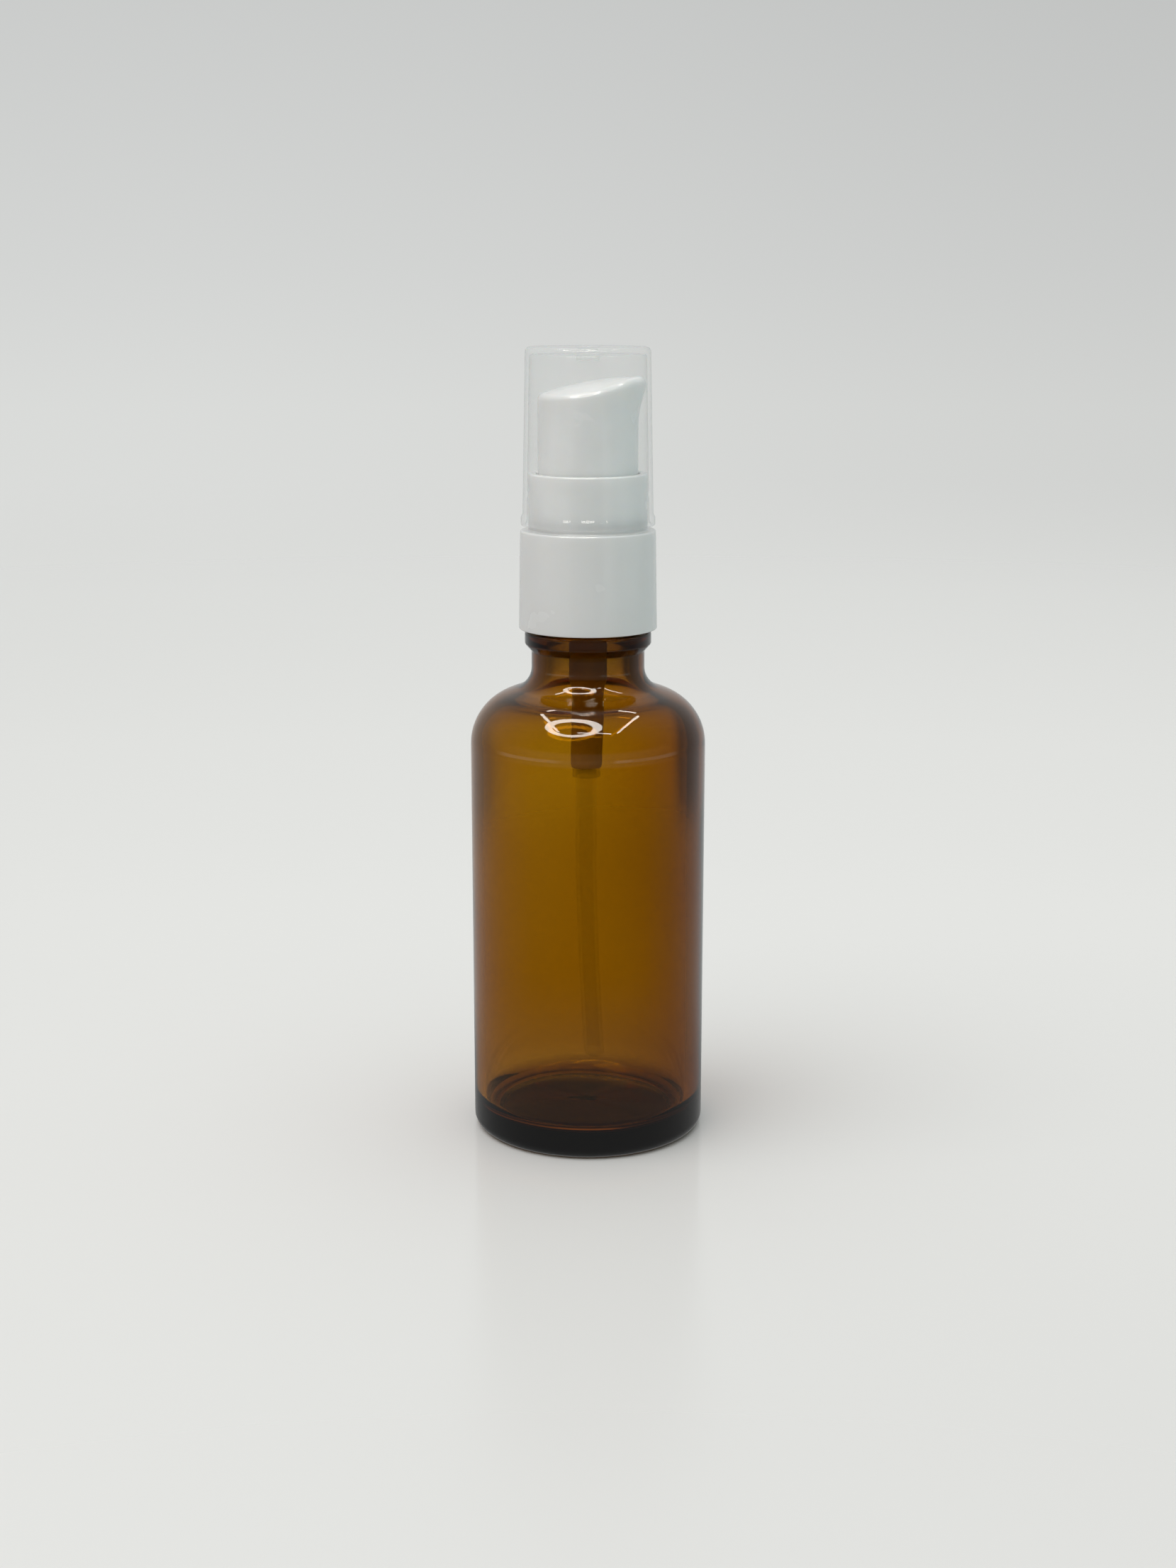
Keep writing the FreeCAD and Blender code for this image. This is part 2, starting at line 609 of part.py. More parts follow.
def make_stem():
    """Tube that carries the actuator, with the collar that keeps it in the guide."""
    collar_top = "cup_floor - slip"
    body = turned("stem", [
        ("stem_bore", "stem_bottom"),
        ("stem_radius", "stem_bottom"),
        ("stem_radius", collar_top + " - collar_thick"),
        ("collar_radius", collar_top + " - collar_thick"),
        ("collar_radius", collar_top),
        ("stem_radius", collar_top),
        ("stem_radius", "stem_top"),
        ("stem_bore", "stem_top"),
    ])
    round_edges(body, "0.25", ("stem_radius", "stem_top"))


def make_plunger():
    """Head with the conical seat, a spigot for the spring and a fluted rod in the stem."""
    body = turned("plunger", [
        ("0", "spigot_bottom"),
        ("spigot_radius", "spigot_bottom"),
        ("spigot_radius", "head_bottom"),
        ("head_radius", "head_bottom"),
        ("head_radius", "head_rim"),
        ("stem_bore", "cone_tip"),
        ("stem_bore", "rod_top"),
        ("0", "rod_top"),
    ])
    round_edges(body, "0.3", ("spigot_radius", "spigot_bottom"))
    sketch = new_sketch(body, "flute", "XY_Plane", "rod_top")
    draw_outline(sketch, [
        ("flute_floor", "-flute_width / 2"),
        ("stem_bore + 0.5", "-flute_width / 2"),
        ("stem_bore + 0.5", "flute_width / 2"),
        ("flute_floor", "flute_width / 2"),
    ])
    flute = cut_pocket(body, sketch, "rod_top - cone_tip")
    pattern = body.newObject("PartDesign::PolarPattern", "flutes")
    pattern.Originals = [flute]
    pattern.Axis = (sketch, ["N_Axis"])
    pattern.Angle = 360.0
    pattern.Occurrences = 4
    finish_feature(body, pattern)


def make_piston():
    """Seal with two lips, which seats on the plunger's cone."""
    cone = "head_rim + (cone_tip - head_rim) * (head_radius - %s) / (head_radius - stem_bore) + 0.1"
    turned("piston", [
        ("piston_bore", cone % "piston_bore"),
        ("piston_waist - 0.45", cone % "(piston_waist - 0.45)"),
        ("piston_waist", "piston_bottom + 0.1"),
        ("chamber_radius - slip", "piston_bottom"),
        ("chamber_radius - slip", "piston_bottom + 0.45"),
        ("piston_waist", "piston_bottom + 0.9"),
        ("piston_waist", "piston_top - 0.9"),
        ("chamber_radius - slip", "piston_top - 0.45"),
        ("chamber_radius - slip", "piston_top"),
        ("piston_waist", "piston_top - 0.1"),
        ("piston_waist - 0.35", "piston_top - 0.7"),
        ("piston_bore + 0.25", "piston_top - 0.7"),
        ("piston_bore + 0.25", "piston_top"),
        ("piston_bore", "piston_top"),
    ])


def make_return_spring():
    """Coil between the housing's ledge and the plunger's head."""
    body = new_body("return_spring")
    sketch = new_sketch(body, "wire_section")
    low = "ledge_height + wire_radius"
    sketch.addGeometry(Part.Circle(FreeCAD.Vector(size_of("coil_radius"), size_of(low), 0),
                                   FreeCAD.Vector(0, 0, 1), size_of("wire_radius")), False)
    pin(sketch, 0, 3, "coil_radius", low)
    constrain(sketch, "Radius", 0, "wire_radius")
    coil = body.newObject("PartDesign::AdditiveHelix", "coil")
    coil.Profile = sketch
    coil.ReferenceAxis = (sketch, ["V_Axis"])
    coil.Mode = "pitch-turns-angle"
    coil.setExpression("Pitch", bound("(head_bottom - ledge_height - 2 * wire_radius) / coil_turns"))
    coil.setExpression("Turns", bound("coil_turns"))
    finish_feature(body, coil)


def make_inlet_ball():
    """Ball that shuts the inlet while the pump is pressed."""
    ball = doc.addObject("Part::Sphere", "inlet_ball_sphere")
    ball.Label = "inlet_ball"
    ball.setExpression("Radius", bound("ball_radius"))
    ball.setExpression("Placement.Base.z", bound("ball_height"))


def make_dip_tube():
    """Tube that runs straight down from its socket and then curves a little towards +X."""
    body = new_body("dip_tube")
    route = new_sketch(body, "tube_route")
    top, bend = size_of("tube_top"), size_of("tube_straight_end")
    curve, tip = size_of("tube_curve"), size_of("tube_tip - 1")
    end_x = curve - (curve ** 2 - (bend - tip) ** 2) ** 0.5
    circle = Part.Circle(FreeCAD.Vector(curve, bend, 0), FreeCAD.Vector(0, 0, 1), curve)
    start, end = circle.parameter(FreeCAD.Vector(0, bend, 0)), circle.parameter(
        FreeCAD.Vector(end_x, tip, 0))
    route.addGeometry(Part.LineSegment(FreeCAD.Vector(0, top, 0), FreeCAD.Vector(0, bend, 0)), False)
    route.addGeometry(Part.ArcOfCircle(circle, start, end), False)
    constrain(route, "Tangent", 0, 2, 1, 1)
    pin(route, 0, 1, "0", "tube_top")
    pin(route, 0, 2, "0", "tube_straight_end")
    constrain(route, "Radius", 1, "tube_curve")
    constrain(route, "DistanceY", -1, 1, 1, 2, "tube_tip - 1")
    section = new_sketch(body, "tube_section", "XY_Plane", "tube_top")
    for number, radius in enumerate(("tube_radius", "tube_bore")):
        section.addGeometry(Part.Circle(FreeCAD.Vector(0, 0, 0), FreeCAD.Vector(0, 0, 1),
                                        size_of(radius)), False)
        constrain(section, "Coincident", number, 3, -1, 1)
        constrain(section, "Radius", number, radius)
    pipe = body.newObject("PartDesign::AdditivePipe", "tube")
    pipe.Profile = section
    pipe.Spine = (route, [])
    finish_feature(body, pipe)
    cut = new_sketch(body, "tube_end", "YZ_Plane", "-10")
    draw_outline(cut, [
        ("tube_radius", "tube_tip"),
        ("-tube_radius", "tube_tip + tube_cut_rise"),
        ("-tube_radius - 1", "tube_tip + tube_cut_rise"),
        ("-tube_radius - 1", "tube_tip - 3"),
        ("tube_radius + 1", "tube_tip - 3"),
        ("tube_radius + 1", "tube_tip"),
    ])
    cut_pocket(body, cut, "20", backwards=True)


# ---------------------------------------------------------------- making and writing

for make in (make_glass_bottle, make_closure, make_neck_gasket, make_overcap, make_actuator,
             make_pump_housing, make_stem_guide, make_stem, make_plunger, make_piston,
             make_return_spring, make_inlet_ball, make_dip_tube):
    make()
doc.recompute()

failed = [item.Name for item in doc.Objects if {"Invalid", "Error"} & set(item.State)]
if failed:
    raise RuntimeError("these objects failed: " + ", ".join(failed))

subparts = [item for item in doc.Objects if item.TypeId in ("PartDesign::Body", "Part::Sphere")]
for item in subparts:
    if item.Shape.isNull() or not item.Shape.isValid() or len(item.Shape.Solids) != 1:
        raise RuntimeError(item.Label + " is not one valid solid")

os.makedirs("parts", exist_ok=True)
for item in subparts:
    item.Shape.exportStep("parts/%s.step" % item.Label)
    print("%-14s %9.2f mm3" % (item.Label, item.Shape.Volume))
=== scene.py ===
"""Looks of the pump oil bottle: amber glass, white pump and clear overcap on a pale floor.

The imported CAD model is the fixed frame. The glass, closure, overcap and return spring get finer
meshes in its place, and every other CAD node keeps its shape and gets a material. Outlines are
corners of (radius, height, optional rounding) in millimetres.
"""

import json
import math

import bmesh
import bpy
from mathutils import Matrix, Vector, noise


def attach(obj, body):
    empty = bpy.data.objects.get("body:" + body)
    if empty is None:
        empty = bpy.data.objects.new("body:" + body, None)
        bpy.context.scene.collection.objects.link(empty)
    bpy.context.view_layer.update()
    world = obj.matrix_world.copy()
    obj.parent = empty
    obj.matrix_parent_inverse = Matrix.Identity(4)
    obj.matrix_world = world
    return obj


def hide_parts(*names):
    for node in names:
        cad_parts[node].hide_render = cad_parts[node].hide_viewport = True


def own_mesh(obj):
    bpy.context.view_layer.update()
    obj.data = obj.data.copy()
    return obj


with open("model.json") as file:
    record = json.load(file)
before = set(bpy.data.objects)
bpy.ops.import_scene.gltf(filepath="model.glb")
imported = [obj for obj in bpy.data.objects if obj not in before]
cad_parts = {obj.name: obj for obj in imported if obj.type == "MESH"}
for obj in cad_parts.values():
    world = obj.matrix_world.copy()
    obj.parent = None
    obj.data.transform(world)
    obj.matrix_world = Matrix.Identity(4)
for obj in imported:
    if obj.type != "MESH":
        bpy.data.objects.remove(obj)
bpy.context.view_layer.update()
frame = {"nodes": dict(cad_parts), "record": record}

MM = 0.001
TURN = 2 * math.pi
AROUND = 256  # faces round a large turned piece
ARC_STEP = math.radians(4)
SHARP = math.radians(38)  # edges bent more than this stay crisp

# ---------------------------------------------------------------- sizes shared with the CAD

BODY_R, WALL, FLOOR_Z = 18.6, 2.2, 3.4
INNER_R = BODY_R - WALL
SLOPE = math.tan(math.radians(21.2))
CONE_TOP, NECK_R, BORE_R = 73.17, 8.9, 6.6
CONE_BASE = CONE_TOP - (BODY_R - NECK_R) * SLOPE
INNER_DROP = WALL / math.cos(math.radians(21.2))
CORE_R, MOUTH_Z = 8.0, 92.5
SHOULDER_BEND, NECK_BEND = 8.84, 3.65
BEAD_R, BEAD_LOW, BEAD_TOP = 9.95, 79.4, 81.35
OFF_CENTRE = -0.35  # how far the blown inside lies along X from the axis
PITCH, THREAD_TURNS, THREAD_START = 3.0, 1.5, 85.2
NECK_THREADED, SKIRT_THREADED = (83.5, 91.5), (82.6, 91)  # heights that hold a thread
THREAD_STEP, THREAD_RISE = 0.16, 0.03  # its mesh's fineness, and turns in which an end rises
SKIRT_THREAD_DROP = 1.2  # how far below the neck's thread the skirt's starts
ON_WALL, ALONG_WALL = 0.01, 0.02  # how near a wall's radius a point or a run of it is
SKIRT_BORE, CREST_R = 9.15, 8.25
CAP_TOP, CAP_TOP_R, CAP_WALL, CAP_DRAFT = 125.1, 9.66, 0.65, 0.02

# ---------------------------------------------------------------- where a look changes, in metres

GLASS_NECK = (0.0735, 0.0765)  # the glass is darker above these heights
FOOT_PAINTED_SHADE = (0.0015, 0.0065)  # and darker below these: painted contact shade where the foot meets the floor
GLASS_WALL = (0.0150, 0.0165)  # radii over which the foot's painted shade comes in
FOOT_SHADE = (0.001, 0.006)  # the foot lets less light through below these
WHITE_PAINTED_LIGHT = (0.0965, 0.0985)  # the white plastic is lighter above these: painted light on the parts under the overcap
CAP_RIM = (0.0980, 0.0986)  # the overcap shades what is under it below these
TUBE_SOCKET = (0.0594, 0.0598)  # the housing is mostly clear below these
FLOW_MARKS = 0.02  # how much darker the flow marks of moulded plastic are


# ---------------------------------------------------------------- meshes

def rounded(corners, closed):
    """An outline of (radius, height) points from corners, each with an optional rounding."""
    count, outline = len(corners), []
    for i, corner in enumerate(corners):
        here = Vector(corner[:2])
        size = corner[2] if len(corner) > 2 else 0
        if not size or (not closed and i in (0, count - 1)):
            outline.append(here)
            continue
        before = (Vector(corners[i - 1][:2]) - here).normalized()
        after = (Vector(corners[(i + 1) % count][:2]) - here).normalized()
        half = before.angle(after) / 2
        centre = here + (before + after).normalized() * size / math.sin(half)
        start = here + before * size / math.tan(half) - centre
        end = here + after * size / math.tan(half) - centre
        bend = math.atan2(start.x * end.y - start.y * end.x, start.dot(end))
        steps = max(2, math.ceil(abs(bend) / ARC_STEP))
        for k in range(steps + 1):
            a = bend * k / steps
            outline.append(centre + Vector((start.x * math.cos(a) - start.y * math.sin(a),
                                            start.x * math.sin(a) + start.y * math.cos(a))))
    return outline


def divided(outline, closed, step):
    """The same outline with no run longer than step(radius, height)."""
    points = []
    for i, here in enumerate(outline):
        points.append(here)
        if i + 1 == len(outline) and not closed:
            break
        after = outline[(i + 1) % len(outline)]
        middle = (here + after) / 2
        parts = math.ceil((after - here).length / step(middle.x, middle.y))
        points += [here.lerp(after, k / parts) for k in range(1, parts)]
    return points


def new_piece(name, verts, faces, body, slot, cad_node):
    """A smooth mesh piece that rides on a CAD body and stands for a CAD node."""
    mesh = bpy.data.meshes.new(name)
    mesh.from_pydata([[c * MM for c in v] for v in verts], [], faces)
    work = bmesh.new()
    work.from_mesh(mesh)
    bmesh.ops.remove_doubles(work, verts=work.verts, dist=1e-7)
    bmesh.ops.recalc_face_normals(work, faces=work.faces)
    work.to_mesh(mesh)
    work.free()
    mesh.polygons.foreach_set("use_smooth", [True] * len(mesh.polygons))
    mesh.set_sharp_from_angle(angle=SHARP)
    mesh.materials.append(looks[slot])
    piece = bpy.data.objects.new(name, mesh)
    bpy.context.scene.collection.objects.link(piece)
    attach(piece, body)
    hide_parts(cad_node)
    return piece


def turned(corners, closed=False, around=AROUND, step=lambda r, z: 2.0, shape=None):
    """Vertices and faces of an outline turned about Z. shape(r, z, angle) moves single points."""
    outline = divided(rounded(corners, closed), closed, step)
    verts, rings = [], []
    for r, z in outline:
        if r < 1e-6:
            rings.append([len(verts)] * around)
            verts.append((0, 0, z))
            continue
        rings.append(range(len(verts), len(verts) + around))
        for k in range(around):
            a = TURN * k / around
            rr, zz = shape(r, z, a) if shape else (r, z)
            verts.append((rr * math.cos(a), rr * math.sin(a), zz))
    faces = []
    pairs = list(zip(rings, rings[1:])) + ([(rings[-1], rings[0])] if closed else [])
    for low, high in pairs:
        for k in range(around):
            m = (k + 1) % around
            face = list(dict.fromkeys((low[k], low[m], high[m], high[k])))
            if len(face) > 2:
                faces.append(face)
    return verts, faces


def joined(*parts):
    """One list of vertices and one of faces from several."""
    verts, faces = [], []
    for more_verts, more_faces in parts:
        faces += [[len(verts) + v for v in face] for face in more_faces]
        verts += more_verts
    return verts, faces


def thread_height(z, a, start, root_half, crest_half, depth):
    """How far a right-hand thread stands out at this height and angle."""
    best = 0.0
    for lap in range(2):
        turn = a / TURN + lap
        if turn > THREAD_TURNS:
            continue
        away = abs(z - (start + PITCH * turn))
        rise = max(0.0, min(1.0, (root_half - away) / (root_half - crest_half)))
        ends = min(1.0, turn / THREAD_RISE, (THREAD_TURNS - turn) / THREAD_RISE)
        best = max(best, depth * rise * ends)
    return best


def ripple(z, a, size, wave, seed):
    """Smooth unevenness of moulded glass, in millimetres."""
    spot = Vector((math.cos(a) * BODY_R / wave, math.sin(a) * BODY_R / wave, z / wave + seed))
    return size * noise.noise(spot)


def neck_thread(r, z, a):
    """The thread stands out from the core of the glass neck."""
    low, high = NECK_THREADED
    if abs(r - CORE_R) < ON_WALL and low < z < high:
        return r + thread_height(z, a, THREAD_START, root_half=0.85, crest_half=0.4,
                                 depth=NECK_R - CORE_R), z
    return r, z


def skirt_thread(r, z, a):
    """The thread stands inwards from the bore of the closure's skirt."""
    low, high = SKIRT_THREADED
    if abs(r - SKIRT_BORE) < ON_WALL and low < z < high:
        return r - thread_height(z, a, THREAD_START - SKIRT_THREAD_DROP, root_half=0.7,
                                 crest_half=0.3, depth=SKIRT_BORE - CREST_R), z
    return r, z


def blown_inside(r, z, a):
    """The inside is uneven and a little off centre, less so in the neck and at the axis."""
    fade = 8  # millimetres in which it fades out
    edge = min(1.0, r / fade) * max(0.0, min(1.0, (CONE_TOP - z) / fade))
    aside = OFF_CENTRE * math.cos(a)
    out = ripple(z, a, size=0.16, wave=17, seed=3.0)
    up = ripple(z, a, size=0.1, wave=12, seed=9.0)
    return r + (out + aside) * edge, z + up * edge


# ---------------------------------------------------------------- materials

def node(tree, kind, inputs=None, **settings):
    """Adds a shader node. An input that is a socket is linked, and any other is set."""
    made = tree.nodes.new("ShaderNode" + kind)
    for key, value in settings.items():
        setattr(made, key, value)
    for key, value in (inputs or {}).items():
        if isinstance(value, bpy.types.NodeSocket):
            tree.links.new(value, made.inputs[key])
        else:
            made.inputs[key].default_value = value
    return made


def new_material(name):
    """An empty node material and its output node."""
    material = bpy.data.materials.new(name)
    material.use_nodes = True
    material.node_tree.nodes.clear()
    return material, material.node_tree, node(material.node_tree, "OutputMaterial")


def object_place(tree):
    """The place on the piece, in metres, in its own space."""
    return node(tree, "TexCoord").outputs["Object"]


def fraction(tree, value, low, high, start=0.0, end=1.0, smooth=False):
    """Goes from start to end as a value goes from low to high, and stays there beyond them."""
    return node(tree, "MapRange", {0: value, 1: low, 2: high, 3: start, 4: end},
                interpolation_type="SMOOTHSTEP" if smooth else "LINEAR").outputs[0]


def product(tree, first, second):
    """Two numbers multiplied."""
    return node(tree, "Math", {0: first, 1: second}, operation="MULTIPLY").outputs[0]


def blended(tree, share, first, second, **settings):
    """A colour between two, each a socket or four numbers."""
    return node(tree, "Mix", {0: share, 6: first, 7: second}, data_type="RGBA",
                **settings).outputs[2]


def fine_bump(tree, scale, distance, strength, detail=2.0):
    """A normal from fine noise in the piece's own space. scale is in waves per metre."""
    grain = node(tree, "TexNoise", {"Vector": object_place(tree), "Scale": scale,
                                    "Detail": detail})
    return node(tree, "Bump", {"Height": grain.outputs[0], "Distance": distance,
                               "Strength": strength}).outputs[0]


def by_height(tree, heights, under, over):
    """A colour that goes from one to the other between two heights."""
    height = node(tree, "SeparateXYZ", {0: object_place(tree)}).outputs[2]
    return blended(tree, fraction(tree, height, *heights), (*under, 1), (*over, 1))


def lit_straight(tree, shader, tint):
    """The shader for what is seen, and plain tinted transparency for shadow and diffuse rays."""
    clear = node(tree, "BsdfTransparent", {"Color": tint})
    path = node(tree, "LightPath")
    either = node(tree, "Math", {0: path.outputs["Is Shadow Ray"], 1: path.outputs["Is Diffuse Ray"]},
                  operation="MAXIMUM")
    mix = node(tree, "MixShader", {0: either.outputs[0], 1: shader, 2: clear.outputs[0]})
    return mix.outputs[0]


def amber_glass():
    """Amber glass, darker in its neck and with painted shade low on its thick foot, which lets less
    light through.
    """
    material, tree, out = new_material("amber_glass_painted_shade_look")
    neck = by_height(tree, GLASS_NECK, (1, 1, 1), (0.70, 0.73, 0.9))
    # Painted contact shade: the outside of the foot is darker low down, where it meets the floor.
    foot = by_height(tree, FOOT_PAINTED_SHADE, (0.5, 0.55, 0.9), (1, 1, 1))
    flat = node(tree, "VectorMath", {0: object_place(tree), 1: (1, 1, 0)},
                operation="MULTIPLY").outputs[0]
    radius = node(tree, "VectorMath", {0: flat}, operation="LENGTH").outputs["Value"]
    color = blended(tree, fraction(tree, radius, *GLASS_WALL), neck, foot, blend_type="MULTIPLY")
    glass = node(tree, "BsdfPrincipled", {
        "Base Color": color, "IOR": 1.52, "Roughness": 0.0, "Transmission Weight": 1.0,
        "Normal": fine_bump(tree, 90.0, 0.00004, 0.2, 1.0)})
    tint = by_height(tree, FOOT_SHADE, (0.2, 0.2, 0.2), (1, 1, 1))
    tree.links.new(lit_straight(tree, glass.outputs[0], tint), out.inputs["Surface"])
    volume = node(tree, "VolumeAbsorption", {"Color": (0.84, 0.70, 0.0, 1), "Density": 1400.0})
    tree.links.new(volume.outputs[0], out.inputs["Volume"])
    return material


def valve_glass():
    """The pale, slightly rough glass of the inlet ball."""
    material, tree, out = new_material("valve_glass_look")
    glass = node(tree, "BsdfPrincipled", {
        "Base Color": (0.93, 0.97, 0.96, 1), "IOR": 1.5, "Roughness": 0.12,
        "Transmission Weight": 1.0, "Normal": fine_bump(tree, 3000.0, 0.00001, 0.4)})
    tree.links.new(lit_straight(tree, glass.outputs[0], (0.8, 0.85, 0.85, 1)),
                   out.inputs["Surface"])
    return material


def thin_clear(name, tint, haze_color, haze, gloss, rim=None):
    """Thin clear plastic that doesn't bend what is behind it.

    haze and gloss are each its least share, face on, and its most, at the piece's edges. Below the
    heights in rim, where the piece is thicker, it shades what is under it.
    """
    material, tree, out = new_material(name)
    bump = fine_bump(tree, 260.0, 0.00002, 0.1)
    facing = node(tree, "LayerWeight", {"Blend": 0.5, "Normal": bump}).outputs["Facing"]
    edge = node(tree, "Math", {0: facing, 1: 5.0}, operation="POWER").outputs[0]
    milky, glossy = [fraction(tree, edge, 0.0, 1.0, *shares) for shares in (haze, gloss)]
    clear = node(tree, "BsdfTransparent", {"Color": (*tint, 1)})
    milk = node(tree, "BsdfPrincipled", {"Base Color": (*haze_color, 1), "Roughness": 0.3,
                                         "Subsurface Weight": 0.3})
    body = node(tree, "MixShader", {0: milky, 1: clear.outputs[0], 2: milk.outputs[0]})
    mirror = node(tree, "BsdfAnisotropic", {"Roughness": 0.04, "Normal": bump})
    whole = node(tree, "MixShader", {0: glossy, 1: body.outputs[0], 2: mirror.outputs[0]})
    shade = by_height(tree, rim, (0.55, 0.55, 0.55), tint) if rim else (*tint, 1)
    tree.links.new(lit_straight(tree, whole.outputs[0], shade), out.inputs["Surface"])
    return material


def plastic(name, color, roughness, scatter=0.0, grain=(1400, 0.00002, 0.15), painted_light_above=None, **more):
    """Moulded plastic with faint flow marks in its colour and gloss.

    grain is the scale, distance and strength of its fine bump, and a colour given for above the
    closure's shoulder is painted light on the parts under the overcap.
    """
    material, tree, out = new_material(name)
    flow = node(tree, "TexNoise", {"Vector": object_place(tree), "Scale": 160.0,
                                   "Detail": 3.0}).outputs[0]
    darker = [c * (1 - FLOW_MARKS) for c in color]
    # A lighter colour above the closure's shoulder, if given, is painted light under the overcap.
    full = by_height(tree, WHITE_PAINTED_LIGHT, color, painted_light_above) if painted_light_above else (*color, 1)
    shader = node(tree, "BsdfPrincipled", {
        "Base Color": blended(tree, flow, (*darker, 1), full),
        "Roughness": fraction(tree, flow, 0.0, 1.0, roughness - 0.04, roughness + 0.04),
        "Normal": fine_bump(tree, *grain), "Subsurface Weight": scatter,
        "Subsurface Radius": (0.0016, 0.0014, 0.0012), "Subsurface Scale": 1.0,
        "Coat Roughness": 0.05, **more})
    tree.links.new(shader.outputs[0], out.inputs["Surface"])
    return material


def housing_plastic():
    """Natural plastic, dark with painted shade. The thin tube socket at its lower end lets light
    through.
    """
    # Its dark brownish colour is painted shade inside the amber bottle.
    material = plastic("natural_plastic_painted_shade_look", (0.42, 0.34, 0.29), 0.4)
    tree = material.node_tree
    surface = tree.nodes["Material Output"].inputs["Surface"]
    body = surface.links[0].from_socket
    socket = by_height(tree, TUBE_SOCKET, (0.8, 0.8, 0.8), (0, 0, 0))
    clear = node(tree, "BsdfTransparent", {"Color": (0.97, 0.97, 0.97, 1)})
    mix = node(tree, "MixShader", {0: socket, 1: body, 2: clear.outputs[0]})
    tree.links.new(mix.outputs[0], surface)
    return material


def make_materials():
    """The finish of each of the record's material slots."""
    return {
        "amber_glass": amber_glass(),
        "clear_plastic": thin_clear("clear_plastic_look", (0.997, 0.998, 0.997),
                                    (0.90, 0.91, 0.90), (0.05, 0.35), (0.025, 0.35), CAP_RIM),
        "tube_plastic": thin_clear("tube_plastic_look", (0.97, 0.97, 0.97),
                                   (0.80, 0.80, 0.78), (0.03, 0.10), (0.02, 0.15)),
        # Its lighter colour above the shoulder is painted light on the ring and actuator under the
        # overcap.
        "white_plastic": plastic("white_plastic_painted_light_look", (0.84, 0.845, 0.835), 0.26, scatter=0.35,
                                 painted_light_above=(0.98, 0.98, 0.97), **{"Coat Weight": 0.6}),
        "natural_plastic": housing_plastic(),
        "seal_plastic": plastic("seal_plastic_look", (0.74, 0.76, 0.78), 0.5),
        "gasket_foam": plastic("gasket_foam_look", (0.78, 0.78, 0.75), 0.8,
                               grain=(4000, 0.00006, 0.6)),
        "spring_steel": plastic("spring_steel_look", (0.58, 0.57, 0.55), 0.3, Metallic=1.0),
        "valve_glass": valve_glass(),
    }


looks = make_materials()
for row in frame["record"]["subparts"]:
    for cad_slot in frame["nodes"][row["node"]].material_slots:
        cad_slot.link = "OBJECT"
        cad_slot.material = looks[row["material_slot"]]


# ---------------------------------------------------------------- the bottle

def make_bottle():
    """The glass: its turned outside with a threaded neck, and its uneven blown inside."""
    def step(r, z):
        if abs(r - CORE_R) < ALONG_WALL and z > BEAD_TOP:
            return THREAD_STEP
        return 1.2 if z < CONE_TOP else 0.8

    lip = (CORE_R + BORE_R) / 2
    outside = turned([
        (0, 1.4), (13.7, 0.6, 1.5), (14.9, 0, 0.4), (BODY_R, 0, 1.9),
        (BODY_R, CONE_BASE, SHOULDER_BEND), (NECK_R, CONE_TOP, NECK_BEND),
        (NECK_R, 78.2, 0.4), (NECK_R + 0.3, 78.55, 0.3),
        (BEAD_R, BEAD_LOW, 0.55), (BEAD_R, BEAD_TOP, 0.55), (CORE_R, BEAD_TOP, 0.3),
        (CORE_R, MOUTH_Z, 0.3), (lip, MOUTH_Z),
    ], step=step, shape=neck_thread)
    inside = turned([
        (lip, MOUTH_Z), (BORE_R, MOUTH_Z, 0.3),
        (BORE_R, CONE_TOP - INNER_DROP + (NECK_R - BORE_R) * SLOPE, NECK_BEND + WALL),
        (INNER_R, CONE_TOP - INNER_DROP - (INNER_R - NECK_R) * SLOPE, SHOULDER_BEND - WALL),
        (INNER_R, FLOOR_Z, 2.8), (0, FLOOR_Z + 0.6),
    ], step=step, shape=blown_inside)
    verts, faces = joined(outside, inside)
    new_piece("bottle_glass", verts, faces, "bottle", "amber_glass", "glass_bottle")


# ---------------------------------------------------------------- the pump and its caps

def make_closure():
    """The closure: a threaded skirt, a shoulder and the ring that the actuator sinks into."""
    skirt_low, skirt_top, deck, ring_r, ring_bore, ring_top = 81.75, 97.15, 95.6, 9.27, 8.05, 105.9

    def step(r, z):
        return THREAD_STEP if abs(r - SKIRT_BORE) < ALONG_WALL else 1.5

    verts, faces = turned([
        (9.7, skirt_low, 0.12), (10.84, skirt_low, 0.2), (10.57, skirt_top, 0.3),
        (ring_r, skirt_top, 0.3), (ring_r, ring_top, 0.3), (ring_bore, ring_top, 0.2),
        (ring_bore, deck, 0.3), (4.0, deck, 0.15), (4.0, 94.25), (8.15, 94.25), (8.15, 93.35),
        (7.85, 93.2), (7.85, 92.95), (SKIRT_BORE, 92.6), (SKIRT_BORE, 82.3),
    ], closed=True, step=step, shape=skirt_thread)
    new_piece("closure_shell", verts, faces, "closure", "white_plastic", "closure")


def make_overcap():
    """The clear cap: a drafted wall with a rim and a snap bead, and a dimple in its top."""
    roof, foot, rim_r, bead_r = 123.95, 97.9, 10.45, 9.34

    def wall_at(z):
        return CAP_TOP_R - CAP_WALL + CAP_DRAFT * (CAP_TOP - z)

    verts, faces = turned([
        (0, 124.5), (1.4, 124.5, 0.15), (1.6, CAP_TOP, 0.1), (CAP_TOP_R, CAP_TOP, 0.8),
        (10.17, 99.6, 0.25), (rim_r, 99.15, 0.2), (rim_r, foot, 0.2), (9.8, foot, 0.1),
        (9.52, 98.8), (wall_at(102.15), 102.15), (bead_r, 102.5, 0.1), (bead_r, 102.9, 0.1),
        (wall_at(103.25), 103.25), (wall_at(roof), roof, 0.4), (1.8, roof, 0.1),
        (1.8, 123.0, 0.2), (0, 123.0),
    ])
    new_piece("overcap_shell", verts, faces, "overcap", "clear_plastic", "overcap")


